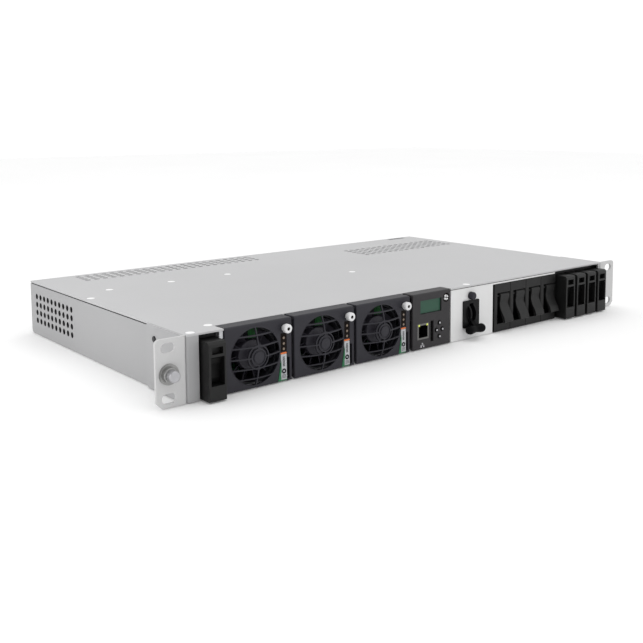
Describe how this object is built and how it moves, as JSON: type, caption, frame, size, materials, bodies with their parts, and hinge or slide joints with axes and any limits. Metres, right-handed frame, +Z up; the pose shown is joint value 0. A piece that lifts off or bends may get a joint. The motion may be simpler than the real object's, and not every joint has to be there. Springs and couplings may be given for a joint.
{
  "type": "rack-mount dc power system",
  "caption": "Flat rack-mount power shelf with plug-in fan-cooled rectifier modules, a controller with display, a battery switch and rows of circuit breakers along its front.",
  "frame": {"origin": "at the bottom, midway between the ears and midway between the frontmost and rearmost points", "axes": "+X to the right seen from the front, +Y to the rear, +Z up"},
  "size_m": [0.4826, 0.268, 0.0436],
  "materials": {
    "cover_paint": "satin",
    "chassis_paint": "satin",
    "ear_paint": "satin",
    "panel_silver": "satin",
    "divider_zinc": "satin",
    "bright_steel": "satin",
    "dark_steel": "satin",
    "can_steel": "satin",
    "module_plastic": "matte",
    "controller_plastic": "matte",
    "breaker_black": "matte",
    "lever_black": "satin",
    "rocker_black": "satin",
    "switch_black": "satin",
    "fan_black": "matte",
    "board_green": "satin",
    "handle_green": "satin",
    "thumbscrew_white": "satin",
    "display_green": "gloss",
    "jack_steel": "satin",
    "button_grey": "satin",
    "terminal_black": "matte"
  },
  "bodies": {
    "chassis": {"base_tray": "chassis_paint", "top_cover": "cover_paint", "left_rack_ear": "ear_paint", "right_rack_ear": "ear_paint", "ear_screws": "dark_steel", "cover_rivets": "bright_steel", "ground_screw": "bright_steel", "ground_washers": "bright_steel", "ground_nut": "bright_steel", "bay_dividers": "divider_zinc", "backplane_board": "board_green", "ac_terminal_block": "terminal_black", "dc_terminal_block": "terminal_black", "distribution_panel": "panel_silver", "battery_switch_body": "switch_black", "lever_breaker_bodies": "breaker_black", "small_breaker_bodies": "breaker_black", "breaker_mount_plates": "breaker_black"},
    "module_1": {"module_1_faceplate": "module_plastic", "module_1_housing": "can_steel", "module_1_fan_frame": "fan_black", "module_1_board": "board_green"},
    "module_1_fan": {"module_1_fan_rotor": "fan_black"},
    "module_1_screw": {"module_1_thumbscrew": "thumbscrew_white"},
    "module_1_latch": {"module_1_handle": "handle_green"},
    "module_2": {"module_2_faceplate": "module_plastic", "module_2_housing": "can_steel", "module_2_fan_frame": "fan_black", "module_2_board": "board_green"},
    "module_2_fan": {"module_2_fan_rotor": "fan_black"},
    "module_2_screw": {"module_2_thumbscrew": "thumbscrew_white"},
    "module_2_latch": {"module_2_handle": "handle_green"},
    "module_3": {"module_3_faceplate": "module_plastic", "module_3_housing": "can_steel", "module_3_fan_frame": "fan_black", "module_3_board": "board_green"},
    "module_3_fan": {"module_3_fan_rotor": "fan_black"},
    "module_3_screw": {"module_3_thumbscrew": "thumbscrew_white"},
    "module_3_latch": {"module_3_handle": "handle_green"},
    "controller": {"controller_faceplate": "controller_plastic", "controller_lcd": "display_green", "network_jack": "jack_steel", "controller_board": "board_green"},
    "controller_fixing": {"controller_screw": "bright_steel"},
    "nav_up": {"nav_up_button": "button_grey"},
    "nav_down": {"nav_down_button": "button_grey"},
    "nav_left": {"nav_left_button": "button_grey"},
    "nav_right": {"nav_right_button": "button_grey"},
    "knob": {"panel_knob": "dark_steel"},
    "battery_lever": {"battery_switch_lever": "switch_black"},
    "lever_1": {"breaker_lever_1": "lever_black"},
    "lever_2": {"breaker_lever_2": "lever_black"},
    "lever_3": {"breaker_lever_3": "lever_black"},
    "lever_4": {"breaker_lever_4": "lever_black"},
    "rocker_1": {"breaker_rocker_1": "rocker_black"},
    "rocker_2": {"breaker_rocker_2": "rocker_black"},
    "rocker_3": {"breaker_rocker_3": "rocker_black"},
    "rocker_4": {"breaker_rocker_4": "rocker_black"},
    "rocker_5": {"breaker_rocker_5": "rocker_black"}
  },
  "joints": [
    {"name": "module_1_slide", "type": "slide", "parent": "chassis", "child": "module_1", "axis": [0, -1, 0], "range_m": [0, 0.2]},
    {"name": "module_1_fan_spin", "type": "hinge", "parent": "module_1", "child": "module_1_fan", "pos_m": [-0.1685, -0.113, 0.0215], "axis": [0, 1, 0], "continuous": true},
    {"name": "module_1_screw_turn", "type": "hinge", "parent": "module_1", "child": "module_1_screw", "pos_m": [-0.1451, -0.127, 0.0371], "axis": [0, -1, 0], "continuous": true},
    {"name": "module_1_latch_swing", "type": "hinge", "parent": "module_1", "child": "module_1_latch", "pos_m": [-0.1455, -0.1227, 0.0176], "axis": [-1, 0, 0], "range_deg": [0, 70]},
    {"name": "module_2_slide", "type": "slide", "parent": "chassis", "child": "module_2", "axis": [0, -1, 0], "range_m": [0, 0.2]},
    {"name": "module_2_fan_spin", "type": "hinge", "parent": "module_2", "child": "module_2_fan", "pos_m": [-0.1127, -0.113, 0.0215], "axis": [0, 1, 0], "continuous": true},
    {"name": "module_2_screw_turn", "type": "hinge", "parent": "module_2", "child": "module_2_screw", "pos_m": [-0.0893, -0.127, 0.0371], "axis": [0, -1, 0], "continuous": true},
    {"name": "module_2_latch_swing", "type": "hinge", "parent": "module_2", "child": "module_2_latch", "pos_m": [-0.0897, -0.1227, 0.0176], "axis": [-1, 0, 0], "range_deg": [0, 70]},
    {"name": "module_3_slide", "type": "slide", "parent": "chassis", "child": "module_3", "axis": [0, -1, 0], "range_m": [0, 0.2]},
    {"name": "module_3_fan_spin", "type": "hinge", "parent": "module_3", "child": "module_3_fan", "pos_m": [-0.0569, -0.113, 0.0215], "axis": [0, 1, 0], "continuous": true},
    {"name": "module_3_screw_turn", "type": "hinge", "parent": "module_3", "child": "module_3_screw", "pos_m": [-0.0335, -0.127, 0.0371], "axis": [0, -1, 0], "continuous": true},
    {"name": "module_3_latch_swing", "type": "hinge", "parent": "module_3", "child": "module_3_latch", "pos_m": [-0.0339, -0.1227, 0.0176], "axis": [-1, 0, 0], "range_deg": [0, 70]},
    {"name": "controller_slide", "type": "slide", "parent": "chassis", "child": "controller", "axis": [0, -1, 0], "range_m": [0, 0.14]},
    {"name": "controller_screw_turn", "type": "hinge", "parent": "controller", "child": "controller_fixing", "pos_m": [0.0123, -0.124, 0.0374], "axis": [0, -1, 0], "continuous": true},
    {"name": "nav_up_press", "type": "slide", "parent": "controller", "child": "nav_up", "axis": [0, 1, 0], "range_m": [0, 0.0007], "stiffness_N_per_m": 300},
    {"name": "nav_down_press", "type": "slide", "parent": "controller", "child": "nav_down", "axis": [0, 1, 0], "range_m": [0, 0.0007], "stiffness_N_per_m": 300},
    {"name": "nav_left_press", "type": "slide", "parent": "controller", "child": "nav_left", "axis": [0, 1, 0], "range_m": [0, 0.0007], "stiffness_N_per_m": 300},
    {"name": "nav_right_press", "type": "slide", "parent": "controller", "child": "nav_right", "axis": [0, 1, 0], "range_m": [0, 0.0007], "stiffness_N_per_m": 300},
    {"name": "knob_turn", "type": "hinge", "parent": "chassis", "child": "knob", "pos_m": [0.0407, -0.126, 0.0352], "axis": [0, -1, 0], "continuous": true},
    {"name": "battery_lever_swing", "type": "hinge", "parent": "chassis", "child": "battery_lever", "pos_m": [0.0408, -0.119, 0.0204], "axis": [-1, 0, 0], "range_deg": [0, 70]},
    {"name": "lever_1_swing", "type": "hinge", "parent": "chassis", "child": "lever_1", "pos_m": [0.08385, -0.1215, 0.0298], "axis": [-1, 0, 0], "range_deg": [0, 65]},
    {"name": "lever_2_swing", "type": "hinge", "parent": "chassis", "child": "lever_2", "pos_m": [0.10445, -0.1215, 0.0298], "axis": [-1, 0, 0], "range_deg": [0, 65]},
    {"name": "lever_3_swing", "type": "hinge", "parent": "chassis", "child": "lever_3", "pos_m": [0.12505, -0.1215, 0.0298], "axis": [-1, 0, 0], "range_deg": [0, 65]},
    {"name": "lever_4_swing", "type": "hinge", "parent": "chassis", "child": "lever_4", "pos_m": [0.14565, -0.1215, 0.0298], "axis": [-1, 0, 0], "range_deg": [0, 65]},
    {"name": "rocker_1_tip", "type": "hinge", "parent": "chassis", "child": "rocker_1", "pos_m": [-0.2034, -0.1274, 0.01975], "axis": [-1, 0, 0], "range_deg": [0, 20]},
    {"name": "rocker_2_tip", "type": "hinge", "parent": "chassis", "child": "rocker_2", "pos_m": [0.1614, -0.1274, 0.01975], "axis": [-1, 0, 0], "range_deg": [0, 20]},
    {"name": "rocker_3_tip", "type": "hinge", "parent": "chassis", "child": "rocker_3", "pos_m": [0.1773, -0.1274, 0.01975], "axis": [-1, 0, 0], "range_deg": [0, 20]},
    {"name": "rocker_4_tip", "type": "hinge", "parent": "chassis", "child": "rocker_4", "pos_m": [0.1932, -0.1274, 0.01975], "axis": [-1, 0, 0], "range_deg": [0, 20]},
    {"name": "rocker_5_tip", "type": "hinge", "parent": "chassis", "child": "rocker_5", "pos_m": [0.2091, -0.1274, 0.01975], "axis": [-1, 0, 0], "range_deg": [0, 20]}
  ]
}
